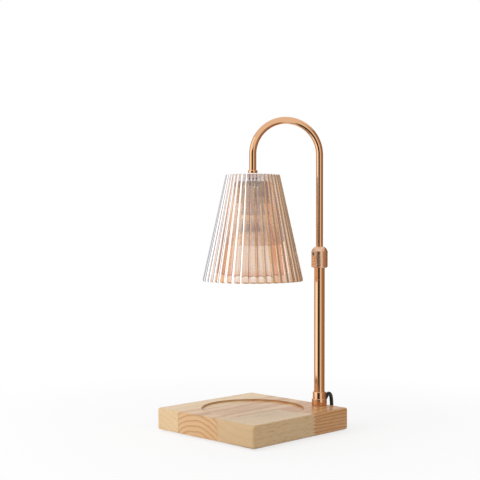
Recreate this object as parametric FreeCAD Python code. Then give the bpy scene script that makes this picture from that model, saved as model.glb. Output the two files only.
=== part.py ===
import FreeCAD, Part
import math
import os

# Candle warmer lamp: a wooden base, a telescopic mast with a hooked arm, and a ribbed glass shade
# that hangs over the base with a reflector bulb inside. Millimetres, +Z up, +Y to the back.
# The origin is the middle of the base's footprint, on the surface that the lamp stands on.

V = FreeCAD.Vector

# Base
BASE_SIDE = 150.0
BASE_THICK = 24.0
BASE_CORNER = 3.0
BASE_EDGE = 2.2
RECESS_DIA = 113.0
RECESS_DEPTH = 2.0
RECESS_LIP = 0.5
FOOT_DIA = 13.0
FOOT_HIGH = 1.5
FOOT_INSET = 18.0
FOOT_SINK = 1.0

# Mast
MAST_INSET_X = 33.0
MAST_INSET_Y = 10.7
STUD_DIA = 8.0
STUD_HOLE_CLEAR = 0.4
STUD_HEAD_HIGH = 2.5
STUD_PAST_NUT = 1.0
NUT_FLATS = 13.0
NUT_HIGH = 6.5
WASHER_DIA = 15.0
WASHER_THICK = 1.6
POCKET_DIA = 16.0
POCKET_DEEP = 11.0
FERRULE_DIA = 17.0
FERRULE_STEP = 7.6
FERRULE_NECK_DIA = 14.9
FERRULE_HIGH = 15.5
FERRULE_LIP = 1.0
FERRULE_LIP_IN = 0.4
FERRULE_CHAMFER = 1.1
TUBE_DIA = 12.0
TUBE_WALL = 1.0
TUBE_FOOT = 9.5
SEAT_CLEAR = 0.05

# Collar and its lock screw
COLLAR_DIA = 18.5
COLLAR_HIGH = 23.4
COLLAR_FOOT = 155.0
COLLAR_SEAT = 12.0
COLLAR_DOME = 5.0
COLLAR_BEVEL = 1.0
COLLAR_SHOULDER_IN = 1.4
COLLAR_SHOULDER_DROP = 2.0
COLLAR_CROWN_IN = 3.6
SCREW_UP = 15.5
SCREW_ASIDE = 9.0
SCREW_DIA = 4.0
SCREW_LONG = 3.3
SCREW_KEY = 2.0
SCREW_KEY_DEEP = 1.8
PAD_DIA = 3.0
PAD_THICK = 1.5
SLIP = 0.05

# Hooked arm
ARM_DIA = 8.0
ARM_WALL = 0.8
ARM_FOOT = 92.0
HOOK_SPRING = 281.0
BUSH_LONG = 10.0
BUSH_LIP = 2.0
LEAD_DIA = 3.4
LEAD_CLEAR = 0.5
LEAD_TURNS = 4
LEAD_END_ROOM = 1.6
NIPPLE_DIA = 6.2
NIPPLE_BORE = 3.8
NIPPLE_IN_ARM = 8.0
CAP_NUT_DIA = 10.7
CAP_NUT_HIGH = 3.6
CAP_NUT_BEVEL = 0.9

# Glass shade
SHADE_FOOT = 140.6
SHADE_HIGH = 118.4
SHADE_FOOT_DIA = 112.7
SHADE_TOP_DIA = 60.0
SHADE_WALL = 4.6
SHADE_TOP_THICK = 7.0
RIBS = 36
RIB_DEPTH = 0.16
SHADE_HOLE_CLEAR = 0.3
GASKET_DIA = 20.0
GASKET_THICK = 1.0

# Lampholder
BRACKET_DIA = 34.0
BRACKET_THICK = 1.2
BRACKET_WIDE = 12.0
BRACKET_DROP = 17.0
LOCK_NUT_FLATS = 10.0
LOCK_NUT_HIGH = 3.5
HOLDER_DIA = 30.0
HOLDER_FLATS = 28.4
HOLDER_HIGH = 17.5
HOLDER_GAP = 2.0
HOLDER_FLOOR = 2.6
HOLDER_ROOM_DIA = 19.0
HOLDER_ROOM_HIGH = 7.2
HOLDER_SCREW_DIA = 3.0
HOLDER_SCREW_LONG = 6.0
HOLDER_SCREW_HEAD = 5.4
HOLDER_SCREW_HEAD_HIGH = 1.8
HOLDER_SCREW_UP = 4.0
CONTACT_THICK = 0.5
CONTACT_WIDE = 4.0
CONTACT_CLEAR = 0.5

# Bulb: twist-lock reflector lamp, pins 10 mm apart
BULB_DIA = 50.0
BULB_LONG = 46.0
BULB_RIM = 6.0
BULB_WALL = 1.4
BULB_CROWN_IN = 3.2
BULB_CROWN_UP = 14.0
BULB_WAIST_IN = 8.0
BULB_WAIST_UP = 22.0
BULB_THROAT_OUT = 0.8
BULB_THROAT_UP = 30.0
BULB_ROOF_THICK = 4.0
BULB_NECK_DIA = 24.0
BULB_BASE_DIA = 20.0
BULB_BASE_HIGH = 12.0
BULB_BASE_STEP = 3.0
BULB_BASE_TAPER = 2.0
BULB_GAP = 0.5
LENS_THICK = 2.0
LENS_CLEAR = 0.1
LENS_SUNK = 0.6
PIN_SPACING = 10.0
PIN_DIA = 3.0
PIN_HEAD_DIA = 5.0
PIN_HEAD_HIGH = 2.5
PIN_NECK = 3.9
PIN_CLEAR = 0.35
TWIST = 22.0
TWIST_SPARE = 2.0
CAPSULE_DIA = 9.0
CAPSULE_LONG = 20.0
CAPSULE_SEAT = 3.0
CAPSULE_SEAT_DEEP = 4.0
CAPSULE_TIP_FLAT = 0.6

# Cord and what is on it
CORD_DIA = 4.2
BOOT_ROOT_DIA = 6.8
BOOT_TILT = 42.0
BOOT_LONG = 6.0
BOOT_UP = 6.9
BOOT_WALL = 0.7
BOOT_FLANGE = 2.5
DIMMER_LONG = 56.0
DIMMER_WIDE = 24.0
DIMMER_HIGH = 14.0
DIMMER_WALL = 1.8
DIMMER_ROUND = 4.0
DIMMER_EDGE = 1.2
DIMMER_ASIDE = 62.0
DIMMER_BEHIND = 18.0
WHEEL_DIA = 22.0
WHEEL_THICK = 5.0
WHEEL_OUT = 3.0
WHEEL_CLEAR = 0.4
WHEEL_PIN_DIA = 4.0
WHEEL_NOTCHES = 24
WHEEL_NOTCH_DIA = 1.6
BOARD_THICK = 1.2
BOARD_LONG = 36.0
BOSS_DIA = 5.0
BOSS_OUT = 22.0
DIMMER_SCREW_DIA = 2.2
DIMMER_SCREW_HEAD = 3.8
DIMMER_SCREW_LONG = 9.0
DIMMER_SCREW_SINK = 1.4
RELIEF_LONG = 8.0
RELIEF_ROOT = 8.0
RELIEF_TIP = 5.8
COIL_ASIDE = 36.0
COIL_AHEAD = 17.0
COIL_PITCH = 4.65
COIL_OUTER = 32.0
COIL_LAYER_QUARTERS = 15
COIL_LIFT = 0.35
TIE_THICK = 0.3
TIE_WIDE = 5.0
TIE_CLEAR = 0.2
PLUG_WIDE = 23.0
PLUG_THICK = 12.0
PLUG_LONG = 26.0
PLUG_NOSE = 14.0
PLUG_NOSE_DIA = 7.4
PLUG_ASIDE = 14.0
PLUG_FROM_COIL = 67.0
PLUG_ROUND = 3.0
PLUG_PIN_SPACING = 12.7
PLUG_PIN_WIDE = 6.3
PLUG_PIN_THICK = 1.5
PLUG_PIN_LONG = 17.0

# Places worked out from the sizes above
BACK = BASE_SIDE / 2
MAST_X = BASE_SIDE / 2 - MAST_INSET_X
MAST_Y = BACK - MAST_INSET_Y
DIMMER_X = MAST_X - DIMMER_ASIDE
DIMMER_Y = BACK + DIMMER_BEHIND
COIL_X = -BASE_SIDE / 2 - COIL_ASIDE
COIL_Y = BACK - COIL_AHEAD
PLUG_X = -BASE_SIDE / 2 - PLUG_ASIDE
PLUG_Y = COIL_Y - PLUG_FROM_COIL
BASE_FOOT = FOOT_HIGH
TOP = FOOT_HIGH + BASE_THICK
MAST_TO_SHADE = math.hypot(MAST_X, MAST_Y)
HOOK_RADIUS = MAST_TO_SHADE / 2
SHADE_TOP = TOP + SHADE_FOOT + SHADE_HIGH
SHADE_ROOF = SHADE_TOP - SHADE_TOP_THICK
CAP_NUT_FOOT = SHADE_TOP + GASKET_THICK
ARM_END = CAP_NUT_FOOT + CAP_NUT_HIGH
BRACKET_TOP = SHADE_ROOF - GASKET_THICK
LOCK_NUT_TOP = BRACKET_TOP - BRACKET_THICK
NIPPLE_FOOT = LOCK_NUT_TOP - LOCK_NUT_HIGH
HOLDER_TOP = NIPPLE_FOOT - HOLDER_GAP
HOLDER_FOOT = HOLDER_TOP - HOLDER_HIGH
BULB_TOP = HOLDER_FOOT - BULB_GAP
BULB_FACE = BULB_TOP - BULB_LONG
SCREW_Z = TOP + COLLAR_FOOT + SCREW_UP


def disc(radius, low, high, x=0.0, y=0.0):
    return Part.makeCylinder(radius, high - low, V(x, y, low))


def ring(outer, inner, low, high, x=0.0, y=0.0):
    return disc(outer, low, high, x, y).cut(disc(inner, low - 1, high + 1, x, y))


def block(low, high):
    return Part.makeBox(high[0] - low[0], high[1] - low[1], high[2] - low[2], V(*low))


def turned(points, x=0.0, y=0.0):
    """A solid of revolution about an upright axis, from (radius, height) points."""
    wire = Part.makePolygon([V(r, 0, z) for r, z in points + points[:1]])
    solid = Part.Face(wire).revolve(V(0, 0, 0), V(0, 0, 1), 360)
    solid.translate(V(x, y, 0))
    return solid


def hexagon(flats, low, high, x=0.0, y=0.0):
    corner = flats / 2 / math.cos(math.pi / 6)
    points = [
        V(x + corner * math.cos(a), y + corner * math.sin(a), low)
        for a in (math.radians(60 * k) for k in range(7))
    ]
    return Part.Face(Part.makePolygon(points)).extrude(V(0, 0, high - low))


def rounded_box(low, high, radius):
    """A box whose upright edges are rounded."""
    solid = block(low, high)
    upright = [e for e in solid.Edges if abs(e.Vertexes[0].Z - e.Vertexes[-1].Z) > 1e-6]
    return solid.makeFillet(radius, upright)


def level_edges_at(solid, height):
    """The edges that lie level at one height."""
    return [
        e for e in solid.Edges
        if abs(e.BoundBox.ZMin - height) < 1e-6 and abs(e.BoundBox.ZMax - height) < 1e-6
    ]


def rod(radius, start, along, length):
    return Part.makeCylinder(radius, length, start, along)


def route_wire(points):
    """Straight runs joined by tangent arcs, each arc as large as its two runs allow."""
    edges, radii, start = [], [], points[0]
    for before, at, after in zip(points, points[1:], points[2:]):
        come, go = (at - before), (after - at)
        shorter = min(come.Length, go.Length)
        come.normalize()
        go.normalize()
        turn = come.getAngle(go)
        cut = 0.45 * shorter
        radii.append(cut / math.tan(turn / 2))
        first, last = at - come * cut, at + go * cut
        inward = (go - come).normalize()
        middle = at + inward * (radii[-1] / math.cos(turn / 2) - radii[-1])
        if (first - start).Length > 1e-6:
            edges.append(Part.LineSegment(start, first).toShape())
        edges.append(Part.Arc(first, middle, last).toShape())
        start = last
    edges.append(Part.LineSegment(start, points[-1]).toShape())
    return Part.Wire(edges), radii


def swept(wire, radius, start, along):
    profile = Part.Wire(Part.makeCircle(radius, start, along))
    shell = Part.BRepOffsetAPI.MakePipeShell(wire)
    shell.add(profile)
    shell.build()
    shell.makeSolid()
    return shell.shape()


def cord(points, diameter, name):
    """A round tube along a route, with its radii and its length printed."""
    wire, radii = route_wire(points)
    solid = swept(wire, diameter / 2, points[0], points[1] - points[0])
    share = solid.Volume / (math.pi * diameter ** 2 / 4 * wire.Length)
    print(f"{name}: length {wire.Length:.1f}, volume share {share:.4f},",
          "radii", [round(r, 1) for r in radii])
    return solid


# Base


def base_block():
    half = BASE_SIDE / 2
    solid = rounded_box((-half, -half, BASE_FOOT), (half, half, TOP), BASE_CORNER)
    solid = solid.makeFillet(BASE_EDGE, level_edges_at(solid, TOP) + level_edges_at(solid, BASE_FOOT))
    solid = solid.cut(disc(RECESS_DIA / 2, TOP - RECESS_DEPTH, TOP + 1))
    lip = [e for e in level_edges_at(solid, TOP) if e.BoundBox.XMax - e.BoundBox.XMin > RECESS_DIA - 1]
    lip = [e for e in lip if e.BoundBox.XMax < BASE_SIDE / 2 - BASE_EDGE - 1]
    solid = solid.makeFillet(RECESS_LIP, lip)
    solid = solid.cut(disc((STUD_DIA + STUD_HOLE_CLEAR) / 2, BASE_FOOT - 1, TOP + 1, MAST_X, MAST_Y))
    solid = solid.cut(disc(POCKET_DIA / 2, BASE_FOOT - 1, BASE_FOOT + POCKET_DEEP, MAST_X, MAST_Y))
    for x, y in foot_places():
        solid = solid.cut(disc(FOOT_DIA / 2, BASE_FOOT - 1, BASE_FOOT + FOOT_SINK, x, y))
    return solid


def foot_places():
    reach = BASE_SIDE / 2 - FOOT_INSET
    return [(sx * reach, sy * reach) for sx in (-1, 1) for sy in (-1, 1)]


def foot_pads():
    return Part.makeCompound([
        disc(FOOT_DIA / 2, 0, BASE_FOOT + FOOT_SINK, x, y) for x, y in foot_places()
    ])


# Mast


def base_stud():
    """The stud that the ferrule is soldered to, with its head inside the ferrule."""
    low = BASE_FOOT + POCKET_DEEP - WASHER_THICK - NUT_HIGH - STUD_PAST_NUT
    head = disc(TUBE_DIA / 2, TOP, TOP + STUD_HEAD_HIGH, MAST_X, MAST_Y)
    return head.fuse(disc(STUD_DIA / 2, low, TOP, MAST_X, MAST_Y)).removeSplitter()


def base_washer():
    high = BASE_FOOT + POCKET_DEEP
    return ring(WASHER_DIA / 2, STUD_DIA / 2, high - WASHER_THICK, high, MAST_X, MAST_Y)


def base_nut():
    high = BASE_FOOT + POCKET_DEEP - WASHER_THICK
    body = hexagon(NUT_FLATS, high - NUT_HIGH, high, MAST_X, MAST_Y)
    return body.cut(disc(STUD_DIA / 2, 0, TOP, MAST_X, MAST_Y))


def boot_frame():
    """The boot's axis: a point on it at the mast's middle line, and its way out, up and back."""
    tilt = math.radians(BOOT_TILT)
    out = V(0, math.cos(tilt), math.sin(tilt))
    at_wall = V(MAST_X, MAST_Y + FERRULE_DIA / 2, TOP + BOOT_UP)
    return at_wall, out


def mast_ferrule():
    bore = TUBE_DIA / 2 + SEAT_CLEAR
    outer, neck = FERRULE_DIA / 2, FERRULE_NECK_DIA / 2
    step, high = TOP + FERRULE_STEP, TOP + FERRULE_HIGH
    solid = turned(
        [(bore, TOP), (outer, TOP), (outer, step - FERRULE_LIP), (outer - FERRULE_LIP_IN, step),
         (neck, step), (neck, high - FERRULE_CHAMFER), (neck - FERRULE_CHAMFER, high), (bore, high)],
        MAST_X, MAST_Y,
    )
    at_wall, out = boot_frame()
    return solid.cut(rod(BOOT_ROOT_DIA / 2, at_wall - out * 5, out, 15))


def lower_tube():
    high = TOP + COLLAR_FOOT + COLLAR_SEAT
    return ring(TUBE_DIA / 2, TUBE_DIA / 2 - TUBE_WALL, TOP + TUBE_FOOT, high, MAST_X, MAST_Y)


def screw_way():
    """The lock screw's axis at the mast's middle line, and its way out, to the front."""
    turn = math.radians(SCREW_ASIDE)
    return V(MAST_X, MAST_Y, SCREW_Z), V(-math.sin(turn), -math.cos(turn), 0)


def lock_collar():
    low, high = TOP + COLLAR_FOOT, TOP + COLLAR_FOOT + COLLAR_HIGH
    seat, slide = TUBE_DIA / 2 + SEAT_CLEAR, ARM_DIA / 2 + SLIP
    outer = COLLAR_DIA / 2
    solid = turned(
        [(seat, low), (outer - COLLAR_BEVEL, low), (outer, low + COLLAR_BEVEL),
         (outer, high - COLLAR_DOME), (outer - COLLAR_SHOULDER_IN, high - COLLAR_SHOULDER_DROP),
         (outer - COLLAR_CROWN_IN, high), (slide, high),
         (slide, low + COLLAR_SEAT), (seat, low + COLLAR_SEAT)],
        MAST_X, MAST_Y,
    )
    middle, out = screw_way()
    solid = solid.cut(rod(PAD_DIA / 2 + SLIP, middle, out, outer))
    return solid.cut(rod(SCREW_DIA / 2 + SLIP, middle + out * (pad_end() - SLIP), out, outer))


def pad_end():
    """How far the pad's outer end, which is the screw's inner end, lies from the mast's middle."""
    return ARM_DIA / 2 + 2 * SLIP + PAD_THICK


def lock_pad():
    """The soft tip pressed into the lock screw's end, so that it doesn't mark the arm."""
    middle, out = screw_way()
    return rod(PAD_DIA / 2, middle + out * (pad_end() - PAD_THICK), out, PAD_THICK)


def lock_screw():
    middle, out = screw_way()
    start = middle + out * pad_end()
    solid = rod(SCREW_DIA / 2, start, out, SCREW_LONG)
    key = hexagon(SCREW_KEY, 0, SCREW_KEY_DEEP + 1)
    key.rotate(V(0, 0, 0), V(0, 1, 0), 90)
    key.rotate(V(0, 0, 0), V(0, 0, 1), math.degrees(math.atan2(out.y, out.x)))
    key.translate(start + out * (SCREW_LONG - SCREW_KEY_DEEP))
    return solid.cut(key)


# Hooked arm


def arm_path(start, end):
    """Up the mast, over in a half circle, and down to the shade."""
    spring = TOP + HOOK_SPRING
    up, down = V(MAST_X, MAST_Y, spring), V(0, 0, spring)
    crown = (up + down) * 0.5 + V(0, 0, HOOK_RADIUS)
    return Part.Wire([
        Part.LineSegment(V(MAST_X, MAST_Y, start), up).toShape(),
        Part.Arc(up, crown, down).toShape(),
        Part.LineSegment(down, V(0, 0, end)).toShape(),
    ])


def arm_tube():
    path, start = arm_path(TOP + ARM_FOOT, ARM_END), V(MAST_X, MAST_Y, TOP + ARM_FOOT)
    outer = swept(path, ARM_DIA / 2, start, V(0, 0, 1))
    inner = swept(path, ARM_DIA / 2 - ARM_WALL, start, V(0, 0, 1))
    return outer.cut(inner)


def arm_lead():
    """The two-core lead inside the arm, from the guide bush to the lampholder."""
    low = TOP + ARM_FOOT - BUSH_LIP
    path = arm_path(low, HOLDER_TOP)
    return swept(path, LEAD_DIA / 2, V(MAST_X, MAST_Y, low), V(0, 0, 1))


def guide_bush():
    low, high = TOP + ARM_FOOT - SLIP - BUSH_LIP, TOP + ARM_FOOT + BUSH_LONG
    outer = TUBE_DIA / 2 - TUBE_WALL - SLIP
    solid = disc(outer, low, high, MAST_X, MAST_Y)
    solid = solid.cut(disc(ARM_DIA / 2 + SLIP, TOP + ARM_FOOT - SLIP, high + 1, MAST_X, MAST_Y))
    return solid.cut(disc(LEAD_DIA / 2 + LEAD_CLEAR, low - 1, high, MAST_X, MAST_Y))


def slack_lead():
    """The spare lead in the lower tube: a loose helix that opens and closes as the arm slides."""
    low = TOP + STUD_HEAD_HIGH + LEAD_END_ROOM
    high = TOP + ARM_FOOT - SLIP - BUSH_LIP - LEAD_END_ROOM
    radius = TUBE_DIA / 2 - TUBE_WALL - LEAD_DIA / 2 - LEAD_CLEAR
    pitch = (high - low) / LEAD_TURNS
    helix = Part.makeHelix(pitch, high - low, radius)
    helix.translate(V(MAST_X, MAST_Y, low))
    along = V(0, 2 * math.pi * radius, pitch)
    return swept(Part.Wire(helix.Edges), LEAD_DIA / 2, V(MAST_X + radius, MAST_Y, low), along)


def end_nipple():
    return ring(NIPPLE_DIA / 2, NIPPLE_BORE / 2, NIPPLE_FOOT, ARM_END + NIPPLE_IN_ARM)


def cap_nut():
    bore, outer = NIPPLE_DIA / 2, CAP_NUT_DIA / 2
    return turned([
        (bore, CAP_NUT_FOOT), (outer, CAP_NUT_FOOT), (outer, ARM_END - CAP_NUT_BEVEL),
        (outer - CAP_NUT_BEVEL, ARM_END),
        (bore, ARM_END),
    ])


def gaskets():
    """Soft washers above and below the glass."""
    return Part.makeCompound([
        ring(CAP_NUT_DIA / 2, NIPPLE_DIA / 2, SHADE_TOP, CAP_NUT_FOOT),
        ring(GASKET_DIA / 2, NIPPLE_DIA / 2, BRACKET_TOP, SHADE_ROOF),
    ])


# Glass shade


def rib_wire(diameter, height):
    """A closed outline of equal bulging ribs, one arc each."""
    crest = diameter / 2
    pitch = math.pi * diameter / RIBS
    valley = crest - RIB_DEPTH * pitch
    edges = []
    for k in range(RIBS):
        a, b = 2 * math.pi * k / RIBS, 2 * math.pi * (k + 1) / RIBS
        middle = (a + b) / 2
        edges.append(Part.Arc(
            V(valley * math.cos(a), valley * math.sin(a), height),
            V(crest * math.cos(middle), crest * math.sin(middle), height),
            V(valley * math.cos(b), valley * math.sin(b), height),
        ).toShape())
    return Part.Wire(edges)


def glass_shade():
    low, high = TOP + SHADE_FOOT, SHADE_TOP
    outside = Part.makeLoft([rib_wire(SHADE_FOOT_DIA, low), rib_wire(SHADE_TOP_DIA, high)], True, True)
    slope = (SHADE_FOOT_DIA - SHADE_TOP_DIA) / 2 / SHADE_HIGH
    foot_r = SHADE_FOOT_DIA / 2 - SHADE_WALL
    roof_r = foot_r - slope * (SHADE_ROOF - low)
    inside = Part.makeCone(foot_r + slope, roof_r, SHADE_ROOF - low + 1, V(0, 0, low - 1))
    solid = outside.cut(inside)
    return solid.cut(disc(NIPPLE_DIA / 2 + SHADE_HOLE_CLEAR, low, high + 1))


# Lampholder


def holder_bracket():
    """A strap over the lampholder, with an ear down each side."""
    half, reach = BRACKET_WIDE / 2, BRACKET_DIA / 2
    inner = HOLDER_FLATS / 2
    solid = block((-inner - BRACKET_THICK, -half, LOCK_NUT_TOP), (inner + BRACKET_THICK, half, BRACKET_TOP))
    for side in (-1, 1):
        xs = sorted((side * inner, side * (inner + BRACKET_THICK)))
        solid = solid.fuse(block((xs[0], -half, BRACKET_TOP - BRACKET_DROP), (xs[1], half, BRACKET_TOP)))
    solid = solid.removeSplitter().cut(disc(NIPPLE_DIA / 2, HOLDER_FOOT, BRACKET_TOP + 1))
    return solid.cut(rod(HOLDER_SCREW_DIA / 2, V(-reach, 0, holder_screw_z()), V(1, 0, 0), 2 * reach))


def holder_screw_z():
    return BRACKET_TOP - BRACKET_DROP + HOLDER_SCREW_UP


def lock_nut():
    body = hexagon(LOCK_NUT_FLATS, NIPPLE_FOOT, LOCK_NUT_TOP)
    return body.cut(disc(NIPPLE_DIA / 2, NIPPLE_FOOT - 1, LOCK_NUT_TOP + 1))


def holder_split():
    return HOLDER_FOOT + HOLDER_FLOOR + HOLDER_ROOM_HIGH


def holder_outline(low, high):
    solid = disc(HOLDER_DIA / 2, low, high)
    half = HOLDER_FLATS / 2
    return solid.common(block((-half, -HOLDER_DIA, low), (half, HOLDER_DIA, high)))


def pin_slot(radius, low, high, sweep):
    """A slot that a pin or its head turns along, on the pins' circle."""
    path = PIN_SPACING / 2
    slots = []
    for start in (0, 180):
        a, b = math.radians(start), math.radians(start - sweep)
        arc_ring = ring(path + radius, path - radius, low, high)
        wedge = Part.Face(Part.makePolygon([
            V(0, 0, low), V(30 * math.cos(a), 30 * math.sin(a), low),
            V(30 * math.cos(b), 30 * math.sin(b), low), V(0, 0, low),
        ])).extrude(V(0, 0, high - low))
        slot = arc_ring.common(wedge)
        for angle in (a, b):
            slot = slot.fuse(disc(radius, low, high, path * math.cos(angle), path * math.sin(angle)))
        slots.append(slot)
    return slots


def holder_body():
    """The ceramic body: two keyhole slots in its floor, and a room above for the contacts."""
    low, split = HOLDER_FOOT, holder_split()
    solid = holder_outline(low, split)
    solid = solid.cut(disc(HOLDER_ROOM_DIA / 2, low + HOLDER_FLOOR, split + 1))
    for slot in pin_slot(PIN_DIA / 2 + PIN_CLEAR, low - 1, low + HOLDER_FLOOR + 1, TWIST + 2 * TWIST_SPARE):
        solid = solid.cut(slot)
    for start in (0, 180):
        a = math.radians(start - TWIST - TWIST_SPARE)
        path = PIN_SPACING / 2
        solid = solid.cut(disc(
            PIN_HEAD_DIA / 2 + PIN_CLEAR, low - 1, low + HOLDER_FLOOR + 1,
            path * math.cos(a), path * math.sin(a),
        ))
    return solid.cut(holder_screw_holes())


def holder_cap():
    solid = holder_outline(holder_split(), HOLDER_TOP)
    return solid.cut(holder_screw_holes())


def holder_screw_holes():
    half = HOLDER_FLATS / 2
    holes = [
        rod(HOLDER_SCREW_DIA / 2, V(side * (half + 1), 0, holder_screw_z()), V(-side, 0, 0),
            HOLDER_SCREW_LONG - BRACKET_THICK + 1)
        for side in (-1, 1)
    ]
    return Part.makeCompound(holes)


def holder_screws():
    face = HOLDER_FLATS / 2 + BRACKET_THICK
    screws = []
    for side in (-1, 1):
        shank = rod(HOLDER_SCREW_DIA / 2, V(side * face, 0, holder_screw_z()), V(-side, 0, 0),
                    HOLDER_SCREW_LONG)
        head = rod(HOLDER_SCREW_HEAD / 2, V(side * face, 0, holder_screw_z()), V(side, 0, 0),
                   HOLDER_SCREW_HEAD_HIGH)
        screws.append(head.fuse(shank).removeSplitter())
    return Part.makeCompound(screws)


def holder_contacts():
    """Two spring strips that hang from the cap beside the pins' heads."""
    split = holder_split()
    strips = []
    for side in (-1, 1):
        inner = PIN_SPACING / 2 + PIN_HEAD_DIA / 2 + CONTACT_CLEAR
        xs = sorted((side * inner, side * (inner + CONTACT_THICK)))
        strips.append(block((xs[0], -CONTACT_WIDE / 2, HOLDER_FOOT + HOLDER_FLOOR),
                            (xs[1], CONTACT_WIDE / 2, split)))
    return Part.makeCompound(strips)


# Bulb


def bulb_profile(inset):
    """The reflector's outline from its rim up to its neck, drawn in by a wall."""
    rim, neck = BULB_DIA / 2 - inset, BULB_NECK_DIA / 2 - inset
    top = BULB_TOP - BULB_BASE_HIGH
    return [(rim, BULB_FACE), (rim, BULB_FACE + BULB_RIM),
            (rim - BULB_CROWN_IN, BULB_FACE + BULB_CROWN_UP),
            (rim - BULB_WAIST_IN, BULB_FACE + BULB_WAIST_UP),
            (neck + BULB_THROAT_OUT, BULB_FACE + BULB_THROAT_UP), (neck, top)]


def bulb_reflector():
    top = BULB_TOP - BULB_BASE_HIGH
    roof = top - BULB_ROOF_THICK
    outside = turned(bulb_profile(0) + [(0, top), (0, BULB_FACE)])
    hollow = [(r, min(z, roof)) for r, z in bulb_profile(BULB_WALL)]
    inside = turned(hollow + [(0, roof), (0, BULB_FACE)])
    seat = disc(CAPSULE_SEAT, BULB_FACE, top + 1)
    return outside.cut(inside).cut(seat)


def bulb_lens():
    radius = BULB_DIA / 2 - BULB_WALL - LENS_CLEAR
    return disc(radius, BULB_FACE + LENS_SUNK, BULB_FACE + LENS_SUNK + LENS_THICK)


def bulb_base():
    low = BULB_TOP - BULB_BASE_HIGH
    return turned([
        (0, low), (BULB_NECK_DIA / 2, low), (BULB_NECK_DIA / 2, low + BULB_BASE_STEP),
        (BULB_BASE_DIA / 2, low + BULB_BASE_STEP + BULB_BASE_TAPER),
        (BULB_BASE_DIA / 2, BULB_TOP), (0, BULB_TOP),
    ])


def bulb_pins():
    pins = []
    for side in (-1, 1):
        x = side * PIN_SPACING / 2
        neck = disc(PIN_DIA / 2, BULB_TOP, BULB_TOP + PIN_NECK + PIN_HEAD_HIGH, x)
        head = disc(PIN_HEAD_DIA / 2, BULB_TOP + PIN_NECK, BULB_TOP + PIN_NECK + PIN_HEAD_HIGH, x)
        pins.append(neck.fuse(head).removeSplitter())
    return Part.makeCompound(pins)


def bulb_capsule():
    """The small sealed lamp that stands in the reflector's throat."""
    high = BULB_TOP - BULB_BASE_HIGH - BULB_ROOF_THICK
    low = high - CAPSULE_LONG + CAPSULE_SEAT_DEEP
    body = disc(CAPSULE_DIA / 2, low, high)
    return body.makeFillet(CAPSULE_DIA / 2 - CAPSULE_TIP_FLAT, level_edges_at(body, low))


# Cord


def cord_boot():
    """The tapered strain relief, with a flange inside the ferrule's wall."""
    at_wall, out = boot_frame()
    root, tip = BOOT_ROOT_DIA / 2 - 0.02, CORD_DIA / 2 + BOOT_WALL
    body = rod(root, at_wall - out * BOOT_FLANGE, out, BOOT_FLANGE)
    cone = Part.makeCone(root, tip, BOOT_LONG, at_wall, out)
    solid = body.fuse(cone).removeSplitter()
    return solid.cut(rod(CORD_DIA / 2, at_wall - out * 5, out, BOOT_LONG + 10))


def mast_cord_route():
    """From inside the boot over the base's back edge, down, and along the back to the dimmer."""
    at_wall, out = boot_frame()
    end = V(DIMMER_X + DIMMER_LONG / 2, DIMMER_Y, dimmer_middle())
    return [
        at_wall - out * 1.0,
        at_wall + out * 8.4,
        V(MAST_X, BACK + 9.6, TOP + 9.6),
        V(MAST_X - 0.1, BACK + 11.0, TOP + 0.6),
        V(MAST_X - 0.8, BACK + 12.0, TOP - 6.8),
        V(MAST_X - 4.4, BACK + 13.8, TOP - 13.2),
        V(MAST_X - 9.6, BACK + 15.8, TOP - 17.0),
        V(MAST_X - 17.5, end.y, end.z),
        end,
    ]


def dimmer_middle():
    return DIMMER_HIGH / 2


def dimmer_outline(inset):
    x, y = DIMMER_LONG / 2 - inset, DIMMER_WIDE / 2 - inset
    return (DIMMER_X - x, DIMMER_Y - y), (DIMMER_X + x, DIMMER_Y + y)


def dimmer_case(inset):
    """The case's outside, or with an inset the room inside it."""
    (x0, y0), (x1, y1) = dimmer_outline(inset)
    return rounded_box((x0, y0, inset), (x1, y1, DIMMER_HIGH - inset), DIMMER_ROUND - inset)


def wheel_middle():
    return DIMMER_X, DIMMER_Y + DIMMER_WIDE / 2 + WHEEL_OUT - WHEEL_DIA / 2


def wheel_room():
    x, y = wheel_middle()
    reach = WHEEL_THICK / 2 + WHEEL_CLEAR
    return disc(WHEEL_DIA / 2 + WHEEL_CLEAR, dimmer_middle() - reach, dimmer_middle() + reach, x, y)


def boss_places():
    return [DIMMER_X - BOSS_OUT, DIMMER_X + BOSS_OUT]


def dimmer_half(low, high):
    """One half of the case, with its two screw bosses."""
    (x0, y0), (x1, y1) = dimmer_outline(0)
    outside = dimmer_case(0)
    outside = outside.makeFillet(DIMMER_EDGE, level_edges_at(outside, DIMMER_HIGH))
    solid = outside.cut(dimmer_case(DIMMER_WALL))
    for x in boss_places():
        solid = solid.fuse(disc(BOSS_DIA / 2, DIMMER_WALL, DIMMER_HIGH - DIMMER_WALL, x, DIMMER_Y))
    solid = solid.removeSplitter().common(block((x0, y0, low), (x1, y1, high)))
    solid = solid.cut(wheel_room())
    for screw in dimmer_screws().Solids:
        solid = solid.cut(screw)
    return solid


def dimmer_base():
    """The lower half; the screws go in from below, with their heads sunk."""
    solid = dimmer_half(0, dimmer_middle())
    for x in boss_places():
        solid = solid.cut(disc(DIMMER_SCREW_HEAD / 2, -1, DIMMER_SCREW_SINK, x, DIMMER_Y))
    return solid


def dimmer_cover():
    return dimmer_half(dimmer_middle(), DIMMER_HIGH)


def dimmer_screws():
    screws = []
    for x in boss_places():
        shank = disc(DIMMER_SCREW_DIA / 2, DIMMER_SCREW_SINK / 2, DIMMER_SCREW_LONG, x, DIMMER_Y)
        head = disc(DIMMER_SCREW_HEAD / 2, DIMMER_SCREW_SINK / 2, DIMMER_SCREW_SINK, x, DIMMER_Y)
        screws.append(head.fuse(shank).removeSplitter())
    return Part.makeCompound(screws)


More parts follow.
